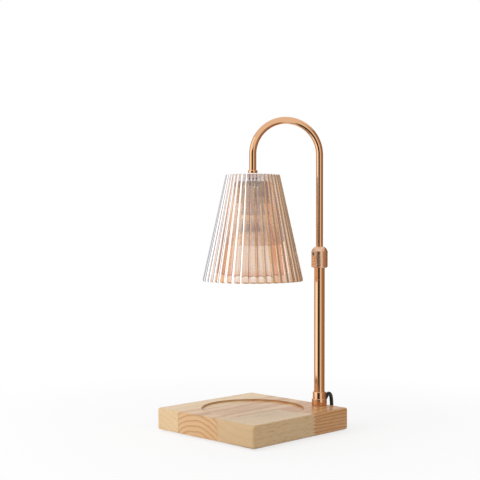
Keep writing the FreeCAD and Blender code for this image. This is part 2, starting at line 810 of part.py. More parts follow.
def dimmer_board():
    """The board under the wheel, with the upright pin that the wheel turns on."""
    x, y = wheel_middle()
    (x0, y0), (x1, y1) = dimmer_outline(DIMMER_WALL)
    low = DIMMER_WALL
    board = block((DIMMER_X - BOARD_LONG / 2, y0, low), (DIMMER_X + BOARD_LONG / 2, y1, low + BOARD_THICK))
    pin = disc(WHEEL_PIN_DIA / 2, low + BOARD_THICK, DIMMER_HIGH - DIMMER_WALL, x, y)
    return board.fuse(pin).removeSplitter()


def dimmer_reliefs():
    """The soft sleeves where the cord goes into each end of the dimmer."""
    sleeves = []
    for side in (-1, 1):
        face = V(DIMMER_X + side * DIMMER_LONG / 2, DIMMER_Y, dimmer_middle())
        cone = Part.makeCone(RELIEF_ROOT / 2, RELIEF_TIP / 2, RELIEF_LONG, face, V(side, 0, 0))
        sleeves.append(cone.cut(rod(CORD_DIA / 2, face, V(side, 0, 0), RELIEF_LONG + 1)))
    return Part.makeCompound(sleeves)


def dimmer_wheel():
    x, y = wheel_middle()
    low = dimmer_middle() - WHEEL_THICK / 2
    solid = ring(WHEEL_DIA / 2, WHEEL_PIN_DIA / 2 + SLIP, low, low + WHEEL_THICK, x, y)
    for k in range(WHEEL_NOTCHES):
        a = 2 * math.pi * k / WHEEL_NOTCHES
        solid = solid.cut(disc(WHEEL_NOTCH_DIA / 2, low - 1, low + WHEEL_THICK + 1,
                               x + WHEEL_DIA / 2 * math.cos(a), y + WHEEL_DIA / 2 * math.sin(a)))
    return solid


def coil_ways():
    """Where the coil's tube is at each quarter turn: in on the lower layer, up, out on the upper."""
    layer, climb = COIL_LAYER_QUARTERS, 2
    low = COIL_LIFT + CORD_DIA / 2
    ways = []
    for k in range(2 * layer + climb + 1):
        inward = layer + climb / 2 - abs(k - layer - climb / 2)
        radius = COIL_OUTER - COIL_PITCH / 4 * inward
        rise = COIL_PITCH * min(max(k - layer, 0), climb) / climb
        angle = -math.pi / 2 * k
        outward = V(math.cos(angle), math.sin(angle), 0)
        drift = -1 if 0 < k <= layer else (1 if layer + climb <= k < 2 * layer + climb else 0)
        along = V(math.sin(angle), -math.cos(angle), 0) + outward * (drift * COIL_PITCH / (2 * math.pi * radius))
        if k == layer + 1:
            along = along + V(0, 0, 1.5 * COIL_PITCH / (math.pi * radius))
        ways.append((V(COIL_X, COIL_Y, low + rise) + outward * radius, along.normalize()))
    return ways


def biarc(start, along, end, onward):
    """Two arcs that leave one way and arrive another, smooth where they join."""
    chord, both = end - start, along + onward
    square = 2 * (1 - along.dot(onward))
    reach = chord.dot(both)
    step = (-reach + math.sqrt(reach ** 2 + square * chord.dot(chord))) / square
    joint = (start + along * step + end - onward * step) * 0.5
    return [arc_from(start, along, joint), arc_from(end, onward * -1, joint, True)]


def arc_from(start, along, end, back=False):
    """The arc that leaves a point one way and ends at another, or that arc run backwards."""
    chord = end - start
    half = along.getAngle(chord)
    corner = start + along * (chord.Length / 2 / math.cos(half))
    middle = (start + end) * 0.5
    bulge = middle + (corner - middle).normalize() * (chord.Length / 2 * math.tan(half / 2))
    return Part.Arc(end, bulge, start).toShape() if back else Part.Arc(start, bulge, end).toShape()


def coil_wire():
    ways = coil_ways()
    (first, leave), (last, arrive) = ways[0], ways[-1]
    edges = [Part.LineSegment(first - leave * CORD_DIA, first).toShape()]
    for (start, along), (end, onward) in zip(ways, ways[1:]):
        edges += biarc(start, along, end, onward)
    edges.append(Part.LineSegment(last, last + arrive * CORD_DIA).toShape())
    return Part.Wire(edges)


def least_gap(wire, diameter, spacing):
    """The least distance between two turns' surfaces, measured on points along the wire."""
    points = wire.discretize(Distance=spacing)
    apart = int(3 * math.pi * diameter / 2 / spacing)
    return min(
        (a - b).Length for i, a in enumerate(points) for b in points[i + apart:]
    ) - diameter


def cord_coil():
    wire = coil_wire()
    first, leave = coil_ways()[0]
    solid = swept(wire, CORD_DIA / 2, first - leave * CORD_DIA, leave)
    share = solid.Volume / (math.pi * CORD_DIA ** 2 / 4 * wire.Length)
    print(f"cord_coil: length {wire.Length:.1f}, volume share {share:.4f},",
          f"least gap to itself {least_gap(wire, CORD_DIA, 2.0):.2f}")
    return solid


def cord_tie():
    """A flat band round the coil's turns, on its back side."""
    inner = COIL_OUTER - COIL_PITCH / 4 * (COIL_LAYER_QUARTERS + 1) - CORD_DIA / 2 - TIE_CLEAR
    outer = COIL_OUTER + CORD_DIA / 2 + TIE_CLEAR
    low, high = COIL_LIFT, COIL_LIFT + COIL_PITCH + CORD_DIA + TIE_CLEAR
    x0, x1 = COIL_X - TIE_WIDE / 2, COIL_X + TIE_WIDE / 2
    room = block((x0 - 1, COIL_Y + inner, low - 0.02), (x1 + 1, COIL_Y + outer, high))
    band = block((x0, COIL_Y + inner - TIE_THICK, low - 0.02 - TIE_THICK),
                 (x1, COIL_Y + outer + TIE_THICK, high + TIE_THICK))
    return band.cut(room)


def coil_ends():
    (first, leave), (last, arrive) = coil_ways()[0], coil_ways()[-1]
    return first - leave * CORD_DIA, last + arrive * CORD_DIA


def middle_cord_route():
    """From the dimmer's far end, down and round to the coil."""
    start, end = V(DIMMER_X - DIMMER_LONG / 2, DIMMER_Y, dimmer_middle()), coil_ends()[0]
    return [
        start,
        start - V(12.5, 0, 0),
        V(end.x + 9.6, start.y - 2.8, 5.6),
        V(end.x + 3.4, start.y - 8.6, 3.6),
        V(end.x, start.y - 17.0, 2.6),
        end,
    ]


def plug_cord_route():
    """From the coil's upper layer down to the surface, and to the plug's nose."""
    start, end = coil_ends()[1], V(PLUG_X, PLUG_Y, PLUG_THICK / 2)
    return [
        start,
        start + V(-0.2, -7.3, -0.6),
        V(start.x - 1.4, start.y - 14.3, 4.6),
        V(start.x - 3.0, start.y - 21.8, 2.7),
        V(start.x - 5.4, start.y - 28.8, 2.4),
        V(start.x - 8.2, start.y - 35.8, 3.9),
        V(end.x, start.y - 44.3, end.z),
        end,
    ]


def plug_body():
    """The moulded plug, lying flat, with its tapered nose."""
    half_wide, half_thick = PLUG_WIDE / 2, PLUG_THICK / 2
    body = rounded_box((PLUG_X - half_wide, PLUG_Y - PLUG_LONG, 0),
                       (PLUG_X + half_wide, PLUG_Y, PLUG_THICK), PLUG_ROUND)
    long_edges = [
        e for e in body.Edges
        if abs(e.BoundBox.YMax - e.BoundBox.YMin) > PLUG_LONG / 2 and e.BoundBox.ZMax - e.BoundBox.ZMin < 0.1
    ]
    nose = Part.makeCone(PLUG_NOSE_DIA / 2, CORD_DIA / 2 + BOOT_WALL, PLUG_NOSE,
                         V(PLUG_X, PLUG_Y, half_thick), V(0, 1, 0))
    solid = body.makeFillet(PLUG_ROUND / 2, long_edges).fuse(nose)
    return solid.cut(rod(CORD_DIA / 2, V(PLUG_X, PLUG_Y, half_thick), V(0, 1, 0), PLUG_NOSE + 1))


def plug_pins():
    pins = []
    for side in (-1, 1):
        x = PLUG_X + side * PLUG_PIN_SPACING / 2
        low = PLUG_THICK / 2 - PLUG_PIN_WIDE / 2
        face = PLUG_Y - PLUG_LONG
        pin = block((x - PLUG_PIN_THICK / 2, face - PLUG_PIN_LONG, low),
                    (x + PLUG_PIN_THICK / 2, face, low + PLUG_PIN_WIDE))
        tip = [e for e in pin.Edges if abs(e.BoundBox.YMax - (face - PLUG_PIN_LONG)) < 1e-6
               and e.BoundBox.XMax - e.BoundBox.XMin > PLUG_PIN_THICK / 2]
        pins.append(pin.makeChamfer(PLUG_PIN_THICK, tip))
    return Part.makeCompound(pins)


PARTS = {
    "base_block": base_block, "foot_pads": foot_pads, "base_stud": base_stud,
    "base_washer": base_washer, "base_nut": base_nut, "mast_ferrule": mast_ferrule,
    "lower_tube": lower_tube, "lock_collar": lock_collar, "lock_pad": lock_pad,
    "lock_screw": lock_screw, "arm_tube": arm_tube, "arm_lead": arm_lead, "guide_bush": guide_bush,
    "slack_lead": slack_lead, "end_nipple": end_nipple, "cap_nut": cap_nut, "gaskets": gaskets,
    "glass_shade": glass_shade, "holder_bracket": holder_bracket, "lock_nut": lock_nut,
    "holder_body": holder_body, "holder_cap": holder_cap, "holder_screws": holder_screws,
    "holder_contacts": holder_contacts, "bulb_reflector": bulb_reflector, "bulb_lens": bulb_lens,
    "bulb_base": bulb_base, "bulb_pins": bulb_pins, "bulb_capsule": bulb_capsule,
    "cord_boot": cord_boot, "mast_cord": lambda: cord(mast_cord_route(), CORD_DIA, "mast_cord"),
    "dimmer_base": dimmer_base, "dimmer_cover": dimmer_cover, "dimmer_board": dimmer_board,
    "dimmer_wheel": dimmer_wheel, "dimmer_screws": dimmer_screws, "dimmer_reliefs": dimmer_reliefs,
    "middle_cord": lambda: cord(middle_cord_route(), CORD_DIA, "middle_cord"),
    "cord_coil": cord_coil, "cord_tie": cord_tie,
    "plug_cord": lambda: cord(plug_cord_route(), CORD_DIA, "plug_cord"),
    "plug_body": plug_body, "plug_pins": plug_pins,
}

os.makedirs("parts", exist_ok=True)
for name, make in PARTS.items():
    shape = make()
    box = shape.BoundBox
    print(name, shape.isValid(), len(shape.Solids), round(shape.Volume),
          [round(v, 1) for v in (box.XMin, box.YMin, box.ZMin, box.XMax, box.YMax, box.ZMax)])
    shape.exportStep(f"parts/{name}.step")
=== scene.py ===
"""Candle warmer lamp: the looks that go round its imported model. Metres, +Z up, +Y to the back."""

import math

import bpy
import numpy as np
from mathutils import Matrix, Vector


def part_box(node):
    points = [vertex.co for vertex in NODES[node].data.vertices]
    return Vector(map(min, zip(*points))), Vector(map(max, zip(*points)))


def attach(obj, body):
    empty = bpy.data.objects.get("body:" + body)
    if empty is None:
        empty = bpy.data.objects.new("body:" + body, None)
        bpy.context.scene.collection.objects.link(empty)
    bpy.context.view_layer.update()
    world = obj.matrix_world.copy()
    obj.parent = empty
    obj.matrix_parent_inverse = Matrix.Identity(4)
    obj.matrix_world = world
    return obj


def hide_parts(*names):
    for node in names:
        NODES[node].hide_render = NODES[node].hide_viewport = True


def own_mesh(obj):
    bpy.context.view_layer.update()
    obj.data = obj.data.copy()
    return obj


bl_info = {
    "name": "Candle warmer lamp",
    "version": (1, 0, 0),
    "blender": (4, 5, 0),
    "location": "3D View > Sidebar > Lamp",
    "description": "Dresses the packed model of a candle warmer lamp",
    "category": "Object",
}

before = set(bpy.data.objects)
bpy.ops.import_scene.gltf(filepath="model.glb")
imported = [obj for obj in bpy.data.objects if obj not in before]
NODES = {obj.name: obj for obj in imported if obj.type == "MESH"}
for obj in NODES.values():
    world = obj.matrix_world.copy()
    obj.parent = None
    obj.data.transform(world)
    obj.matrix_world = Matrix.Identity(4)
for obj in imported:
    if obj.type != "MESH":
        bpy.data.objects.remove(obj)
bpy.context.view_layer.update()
MM = 0.001


def box_size(node, axis):
    """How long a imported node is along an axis: 0, 1 or 2."""
    low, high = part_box(node)
    return high[axis] - low[axis]


def middle(node):
    """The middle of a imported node's box."""
    low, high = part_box(node)
    return (low + high) / 2


def linear(code):
    """The linear colour of an sRGB hex value: below 0.04045 a straight line, above it a power of 2.4."""
    parts = np.array([int(code[i:i + 2], 16) for i in (1, 3, 5)]) / 255
    return np.where(parts <= 0.04045, parts / 12.92, ((parts + 0.055) / 1.055) ** 2.4).tolist()


def length(name, description, default):
    return bpy.props.FloatProperty(
        name=name, description=description, default=default, unit="LENGTH", precision=4
    )


def colour(name, description, code):
    return bpy.props.FloatVectorProperty(
        name=name, description=description, default=linear(code),
        subtype="COLOR", size=3, min=0, max=1,
    )


class LampSizes(bpy.types.PropertyGroup):
    """Sizes that the new pieces are worked out from."""

    mast_x: length("Mast X", "Where the mast stands, to the right", middle("lower_tube").x)
    mast_y: length("Mast Y", "Where the mast stands, to the back", middle("lower_tube").y)
    arm_diameter: length("Arm", "Across the hooked arm's tube", 8.0 * MM)
    arm_wall: length("Arm wall", "How thick the arm's tube is", 0.8 * MM)
    arm_foot: length("Arm foot", "Height of the arm's lower end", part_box("arm_tube")[0].z)
    arm_end: length("Arm end", "Height where the arm ends over the shade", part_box("cap_nut")[1].z)
    hook_spring: length("Hook spring", "Height where the hook starts to bend", 306.5 * MM)
    tube_wall: length("Mast wall", "How thick the lower tube is", 1.0 * MM)
    shade_foot: length("Shade foot", "Across the shade's rim, over the ribs", 112.7 * MM)
    shade_top: length("Shade top", "Across the shade's top, over the ribs", 60.0 * MM)
    shade_wall: length("Shade wall", "How thick the glass is", 4.6 * MM)
    shade_roof: length("Shade roof", "How thick the glass is at the top", 7.0 * MM)
    shade_hole: length("Shade hole", "Across the hole that the nipple goes through", 6.8 * MM)
    bulb_diameter: length("Bulb", "Across the bulb's face", 50.0 * MM)
    cord_diameter: length("Cord", "Across the mains cord", 4.2 * MM)


class LampColours(bpy.types.PropertyGroup):
    """Colours of the finishes."""

    metal: colour("Rose gold", "Plated tubes", "#E2B28A")
    brushed: colour("Brushed rose gold", "The lock collar", "#E8BFA0")
    glass: colour("Shade glass", "Clear parts of the glass", "#F8F0E5")
    amber: colour("Amber", "Lustred parts of the glass", "#E39A36")
    wood: colour("Wood", "The palest stave", "#E6C99F")
    cord: colour("Cord", "Cord and plug", "#1B1918")
    floor: colour("Floor", "The surface under the lamp", "#F4F4F4")


# Meshes


def skin(name, grid, loop=False, tips=(None, None)):
    """A mesh over a grid of points, rows by columns by three, whose columns close into rings.

    loop joins the last row to the first. A tip closes an open end with a fan to that point.
    """
    rows, columns = grid.shape[:2]
    index = np.arange(rows * columns).reshape(rows, columns)
    upper = np.roll(index, -1, axis=0) if loop else index[1:]
    lower = index if loop else index[:-1]
    quads = np.stack([lower, np.roll(lower, -1, 1), np.roll(upper, -1, 1), upper], -1).reshape(-1, 4)
    points, faces = grid.reshape(-1, 3), quads.tolist()
    for tip, ring, flip in ((tips[0], index[0], True), (tips[1], index[-1], False)):
        if tip is not None:
            fan = np.stack([ring, np.roll(ring, -1), np.full(columns, len(points))], -1)
            faces += (fan[:, ::-1] if flip else fan).tolist()
            points = np.vstack([points, [tip]])
    mesh = bpy.data.meshes.new(name)
    mesh.from_pydata(points.tolist(), [], faces)
    mesh.shade_smooth()
    mesh.set_sharp_from_angle(angle=math.radians(38))
    mesh.validate()
    piece = bpy.data.objects.new(name, mesh)
    bpy.context.scene.collection.objects.link(piece)
    return piece


def softened(corners, radius, steps=4, loop=True):
    """Each corner c becomes (1-s)^2 a + 2 s (1-s) c + s^2 b, with a and b a radius away on its two sides."""
    at = np.asarray(corners, float)
    radius = np.broadcast_to(radius, len(at))[:, None]
    back, on = np.roll(at, 1, 0) - at, np.roll(at, -1, 0) - at
    reach_back, reach_on = (np.linalg.norm(side[:, :2], axis=1, keepdims=True) for side in (back, on))
    a = at + back * np.minimum(radius / reach_back, 0.5)
    b = at + on * np.minimum(radius / reach_on, 0.5)
    s = np.linspace(0, 1, steps + 1)[None, :, None]
    bent = (1 - s) ** 2 * a[:, None] + 2 * s * (1 - s) * at[:, None] + s ** 2 * b[:, None]
    if not loop:
        bent[0], bent[-1] = at[0], at[-1]
    return bent.reshape(-1, at.shape[1])


def turned(name, profile, centre=(0, 0), steps=128, **ends):
    """Each profile point (radius, height) goes round: x = cx + r cos t, y = cy + r sin t."""
    turn = np.arange(steps) * 2 * np.pi / steps
    radius, height = profile[:, 0, None], profile[:, 1, None]
    grid = np.stack([
        centre[0] + radius * np.cos(turn),
        centre[1] + radius * np.sin(turn),
        height + 0 * turn,
    ], -1)
    return skin(name, grid, **ends)


def dress(piece, material, body, slot, *nodes):
    """Gives a new piece its finish, its body and the nodes that it stands for."""
    piece.data.materials.append(material)
    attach(piece, body)
    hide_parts(*nodes)
    return piece


def refinish(material, *names):
    """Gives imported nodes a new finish."""
    for name in names:
        NODES[name].data.materials.clear()
        NODES[name].data.materials.append(material)


# Materials


def node(tree, kind, inputs=(), **settings):
    """Adds a node: settings are set on it, and each input is set, or linked where it is a socket."""
    made = tree.nodes.new("ShaderNode" + kind)
    for name, value in settings.items():
        setattr(made, name, value)
    for key, value in dict(inputs).items():
        if isinstance(value, bpy.types.NodeSocket):
            tree.links.new(value, made.inputs[key])
        else:
            made.inputs[key].default_value = value
    return made


def rgba(value):
    """A hex value or a linear colour with its alpha; a socket stays as it is."""
    if isinstance(value, bpy.types.NodeSocket):
        return value
    return (*(linear(value) if isinstance(value, str) else value)[:3], 1)


def material(name, **inputs):
    """A new material with a Principled shader; inputs are its sockets, with _ for a space."""
    made = bpy.data.materials.new(name)
    made.use_nodes = True
    shader = made.node_tree.nodes["Principled BSDF"]
    sockets = {s.name.lower().replace(" ", "_"): s for s in shader.inputs}
    for key, value in inputs.items():
        sockets[key].default_value = value
    return made, made.node_tree, shader


def place(tree, scale):
    """Object coordinates, in metres, scaled to the size of a pattern."""
    spot = node(tree, "TexCoord").outputs["Object"]
    return node(tree, "Mapping", {"Vector": spot, "Scale": scale}).outputs[0]


def grain(tree, at, detail=2.0, rough=0.5):
    """Soft noise, one spot to each unit of the place that it is given."""
    inputs = {"Vector": at, "Scale": 1.0, "Detail": detail, "Roughness": rough}
    return node(tree, "TexNoise", inputs).outputs[0]


def ramp(tree, value, stops):
    """A colour ramp: stops are (place, hex colour)."""
    made = node(tree, "ValToRGB", {0: value})
    made.color_ramp.elements[0].position = stops[0][0]
    made.color_ramp.elements[0].color = rgba(stops[0][1])
    made.color_ramp.elements[1].position = stops[-1][0]
    made.color_ramp.elements[1].color = rgba(stops[-1][1])
    for spot, code in stops[1:-1]:
        made.color_ramp.elements.new(spot).color = rgba(code)
    return made.outputs[0]


def spread(tree, value, low, high, to_low=0.0, to_high=1.0):
    """The part of a value from low to high, stretched to a new range and held there."""
    return node(tree, "MapRange", {
        0: value, "From Min": low, "From Max": high, "To Min": to_low, "To Max": to_high,
    }).outputs[0]


def mix(tree, share, first, second, blend="MIX"):
    values = {0: share, 6: rgba(first), 7: rgba(second)}
    return node(tree, "Mix", values, data_type="RGBA", blend_type=blend).outputs[2]


def maths(tree, operation, *values):
    return node(tree, "Math", dict(enumerate(values)), operation=operation).outputs[0]


def bump(tree, shader, height, distance, strength=1.0):
    """distance is the real height of the relief, in metres."""
    made = node(tree, "Bump", {"Height": height, "Distance": distance, "Strength": strength})
    tree.links.new(made.outputs[0], shader.inputs["Normal"])


def plated_steel(name, colour_value, roughness):
    """Steel tube, polished, then plated rose gold: a clean mirror with faint smudges."""
    made, tree, shader = material(name, base_color=rgba(colour_value), metallic=1.0)
    smudges = grain(tree, place(tree, (60, 60, 25)), 3.0, 0.6)
    smudged = spread(tree, smudges, 0.3, 0.7, roughness * 0.7, roughness * 1.4)
    tree.links.new(smudged, shader.inputs["Roughness"])
    return made


def plain_metal(name, code, roughness, mark_scale):
    """Turned or pressed steel and brass as it comes: fine tool marks a fraction of a millimetre apart."""
    made, tree, shader = material(name, metallic=1.0)
    marks = grain(tree, place(tree, mark_scale), 3.0, 0.6)
    dull = mix(tree, spread(tree, marks, 0.35, 0.65, 0, 0.35), code, "#6E6A64")
    tree.links.new(dull, shader.inputs["Base Color"])
    rough = spread(tree, marks, 0.3, 0.7, roughness * 0.75, roughness * 1.3)
    tree.links.new(rough, shader.inputs["Roughness"])
    bump(tree, shader, marks, 0.02 * MM)
    return made


def moulded(name, code, roughness, grit, relief, second):
    """Moulded plastic or rubber: an even colour with slight clouding, and a spark-eroded grit."""
    made, tree, shader = material(name, specular_ior_level=0.45)
    clouds = grain(tree, place(tree, (90, 90, 90)), 2.0)
    clouded = mix(tree, spread(tree, clouds, 0.35, 0.65), code, second)
    tree.links.new(clouded, shader.inputs["Base Color"])
    rough = spread(tree, clouds, 0.3, 0.7, roughness * 0.85, roughness * 1.15)
    tree.links.new(rough, shader.inputs["Roughness"])
    fine = 1 / (grit * MM)
    bump(tree, shader, grain(tree, place(tree, (fine, fine, fine)), 2.0), relief * MM)
    return made


def glazed_ceramic(name):
    """Steatite, dry-pressed and fired: off-white, faintly speckled, with a satin skin."""
    made, tree, shader = material(name, subsurface_weight=0.05, coat_weight=0.25, coat_roughness=0.2)
    specks = spread(tree, grain(tree, place(tree, (2500, 2500, 2500)), 1.0), 0.68, 0.74)
    tree.links.new(mix(tree, specks, "#ECE7DC", "#B9AF9E"), shader.inputs["Base Color"])
    satin = spread(tree, grain(tree, place(tree, (150, 150, 150)), 2.0), 0.3, 0.7, 0.35, 0.5)
    tree.links.new(satin, shader.inputs["Roughness"])
    bump(tree, shader, grain(tree, place(tree, (900, 900, 900)), 3.0), 0.02 * MM)
    return made


# The wall of the candle's recess, darkened with painted shade, stands this far out, as a share of the base's
# side
RECESS_SHADE_AT = 56.7 / 150
RECESS_SHADE_WIDTH = 0.5 * MM
# Where the staves meet, on X, and where the right one is finger-jointed, on Y, in millimetres
STAVE_EDGES = (-40, 21)
JOINT_AT = (20.4, 20.7)
JOINT_TOOTH = 2.0
SEAM_WIDTH = 0.28
# The pores are drawn a little wider and shorter than the real ones, so that they show
PORES = (1100, 120, 1100)


def rubberwood(name, palest):
    """Edge-glued rubberwood staves along Y, sanded and lacquered: pale, with soft rings and short pores, and
    painted shade on the candle recess's wall.

    Each stave has growth rings round its own axis along Y, so its end shows arcs and its sides lines.
    """
    made, tree, shader = material(
        name, coat_weight=0.3, coat_roughness=0.14, coat_ior=1.45, specular_ior_level=0.2
    )
    spot = node(tree, "TexCoord").outputs["Object"]
    axes = node(tree, "SeparateXYZ", {0: spot}).outputs
    wander = grain(tree, place(tree, (22, 5, 22)), 3.0, 0.55)
    fine_wander = grain(tree, place(tree, (150, 14, 150)), 2.0, 0.5)

    def stave(centre_x, centre_z, spacing, pale, dark, contrast):
        """One stave: rings a few millimetres apart round (centre_x, centre_z), in millimetres."""
        x = maths(tree, "SUBTRACT", axes[0], centre_x * MM)
        z = maths(tree, "SUBTRACT", axes[2], centre_z * MM)
        square = maths(tree, "ADD", maths(tree, "MULTIPLY", x, x), maths(tree, "MULTIPLY", z, z))
        reach = maths(tree, "SQRT", square)
        shifted = maths(tree, "ADD", reach, maths(tree, "MULTIPLY", wander, 9 * MM))
        shifted = maths(tree, "ADD", shifted, maths(tree, "MULTIPLY", fine_wander, 1.2 * MM))
        ring = maths(tree, "FRACT", maths(tree, "DIVIDE", shifted, spacing * MM))
        late = ramp(tree, ring, [(0.0, "#000000"), (0.45, "#3A3A3A"), (0.84, "#FFFFFF"), (1.0, "#000000")])
        share = maths(tree, "MULTIPLY", late, contrast)
        return mix(tree, share, pale, dark)

    def past(edge, width=0.15):
        return spread(tree, axes[0], (edge - width) * MM, (edge + width) * MM)

    def seam(edge):
        off = maths(tree, "ABSOLUTE", maths(tree, "SUBTRACT", axes[0], edge * MM))
        return maths(tree, "LESS_THAN", off, SEAM_WIDTH * MM)

    comb = maths(tree, "MULTIPLY", maths(tree, "PINGPONG", axes[2], JOINT_TOOTH * MM), 2.4)
    joint_y = maths(tree, "ADD", axes[1], comb)
    past_joint = spread(tree, joint_y, *(edge * MM for edge in JOINT_AT))
    left = stave(-92, -70, 6.5, palest, "#D9B688", 0.35)
    centre = stave(-9, -34, 5.4, "#E1BC8F", "#BE8554", 0.75)
    right_front = stave(62, 92, 9.0, "#D9BC94", "#C2A078", 0.22)
    right_back = stave(70, 66, 3.4, "#D5A26E", "#A26C3E", 0.75)
    right = mix(tree, past_joint, right_front, right_back)
    first, second = STAVE_EDGES
    wood = mix(tree, past(second), mix(tree, past(first), left, centre), right)
    glued = maths(tree, "MULTIPLY", maths(tree, "ADD", seam(first), seam(second)), 0.4)
    wood = mix(tree, glued, wood, "#8A6038")
    pores = grain(tree, place(tree, PORES), 2.0, 0.6)
    wood = mix(tree, spread(tree, pores, 0.54, 0.66, 0, 0.45), wood, "#A67A4D")
    shade_of = spread(tree, grain(tree, place(tree, (14, 4, 14)), 2.0), 0.3, 0.7, 0.0, 0.35)
    wood = mix(tree, shade_of, wood, "#E9CFA4", "MULTIPLY")
    flat = node(tree, "CombineXYZ", {0: axes[0], 1: axes[1]}).outputs[0]
    reach = node(tree, "VectorMath", {0: flat}, operation="LENGTH").outputs[1]
    # Painted shade: the recess's wall is darkened brown
    recess_shade = maths(tree, "COMPARE", reach, box_size("base_block", 0) * RECESS_SHADE_AT, RECESS_SHADE_WIDTH)
    wood = mix(tree, maths(tree, "MULTIPLY", recess_shade, 0.6), wood, "#A8703C")
    tree.links.new(wood, shader.inputs["Base Color"])
    tree.links.new(spread(tree, fine_wander, 0.3, 0.7, 0.36, 0.5), shader.inputs["Roughness"])
    bump(tree, shader, pores, 0.05 * MM, 0.5)
    return made


def lustred_glass(name, clear, amber):
    """Pressed soda glass, lustred amber outside: clear, with amber and rose streaks and a pearly sheen.
    Painted highlight keeps the rib crests clearer; painted shade browns the rib valleys and the rim's edge;
    a painted warm band of light lies above the rim; painted refraction streaks the band under the top.

    The UV map's u goes once round from +X, and v from 0 at the rim to 1 at the top.
    """
    made, tree, shader = material(
        name, roughness=0.03, ior=1.5, transmission_weight=1.0,
        thin_film_thickness=240.0, thin_film_ior=1.9,
    )
    along = node(tree, "UVMap", uv_map="ribs").outputs[0]
    axes = node(tree, "SeparateXYZ", {0: along}).outputs

    def streaks(scale, low, high, to_low, to_high):
        spot = node(tree, "Mapping", {"Vector": along, "Scale": scale}).outputs[0]
        return spread(tree, grain(tree, spot, 2.0, 0.6), low, high, to_low, to_high)

    round_it = ramp(tree, axes[0], [
        (0.0, "#B0B0B0"), (0.03, "#808080"), (0.12, "#B0B0B0"), (0.3, "#707070"), (0.5, "#909090"),
        (0.63, "#505050"), (0.7, "#909090"), (0.74, "#505050"), (0.75, "#FFFFFF"), (0.79, "#FFFFFF"),
        (0.8, "#606060"), (0.844, "#606060"), (0.848, "#E0E0E0"), (0.852, "#606060"), (0.93, "#909090"),
        (0.95, "#FFFFFF"), (0.978, "#FFFFFF"), (0.99, "#A0A0A0"),
        (1.0, "#B0B0B0"),
    ])
    in_rib = maths(tree, "FRACT", maths(tree, "MULTIPLY", axes[0], RIBS))
    rib = maths(tree, "MULTIPLY", maths(tree, "ABSOLUTE", maths(tree, "SUBTRACT", in_rib, 0.5)), 2.0)
    amount = maths(tree, "MULTIPLY", round_it, streaks((RIBS, 1.2, 1), 0.38, 0.58, 0.2, 1.3))
    # Painted highlight: the amber share thins towards each rib's crest, so the crests stay clearer
    amount = maths(tree, "MULTIPLY", amount, spread(tree, rib, 0.1, 0.6, 0.45, 1.15))
    rose = ramp(tree, axes[0], [
        (0.0, "#C0C0C0"), (0.03, "#FFFFFF"), (0.09, "#C0C0C0"), (0.14, "#202020"), (0.6, "#303030"),
        (0.7, "#101010"), (0.97, "#000000"), (1.0, "#C0C0C0"),
    ])
    low_down = spread(tree, axes[1], 0.1, 0.7, 1.0, 0.15)
    tint = mix(tree, maths(tree, "MULTIPLY", rose, low_down), amber, "#E27F96")
    glass = mix(tree, amount, clear, tint)
    # Painted shade: a brown line along each rib's valley
    valley = spread(tree, rib, 0.74, 0.95, 0.0, 0.95)
    valley = maths(tree, "MULTIPLY", valley, streaks((RIBS, 2.5, 1), 0.35, 0.6, 0.5, 1))
    glass = mix(tree, valley, glass, "#AE7238")
    # Painted refraction: grey-brown streaks across the band just under the top, for what the thick roof
    # glass shows
    thick = spread(tree, axes[1], 0.93, 0.95)
    thick = maths(tree, "MULTIPLY", thick, streaks((90, 22, 1), 0.42, 0.58, 0.1, 0.8))
    glass = mix(tree, thick, glass, "#A39A94")
    # Painted light: a warm glowing band just above the rim
    glass = mix(tree, spread(tree, axes[1], 0.035, 0.075, 0.4, 0.0), glass, "#E0AE78")
    # Painted shade: dark brown along the rim's very edge
    rim = spread(tree, axes[1], 0.004, 0.018, 0.85, 0.0)
    tree.links.new(mix(tree, rim, glass, "#B5783A"), shader.inputs["Base Color"])
    return made


def clear_glass(name, tint, roughness, relief):
    """Pressed lamp glass: clear, a little rippled."""
    made, tree, shader = material(name, base_color=rgba(tint), ior=1.5, transmission_weight=1.0)
    waves = grain(tree, place(tree, (260, 260, 260)), 2.0)
    rough = spread(tree, waves, 0.3, 0.7, roughness * 0.6, roughness * 1.4)
    tree.links.new(rough, shader.inputs["Roughness"])
    bump(tree, shader, waves, relief * MM)
    return made


def mirrored_glass(name):
    """Glass with an aluminium film behind it: a bright mirror, slightly orange-peeled."""
    made, tree, shader = material(name, metallic=1.0, base_color=rgba("#E9E4DA"))
    waves = grain(tree, place(tree, (320, 320, 320)), 2.0)
    tree.links.new(spread(tree, waves, 0.3, 0.7, 0.08, 0.2), shader.inputs["Roughness"])
    bump(tree, shader, waves, 0.05 * MM)
    return made


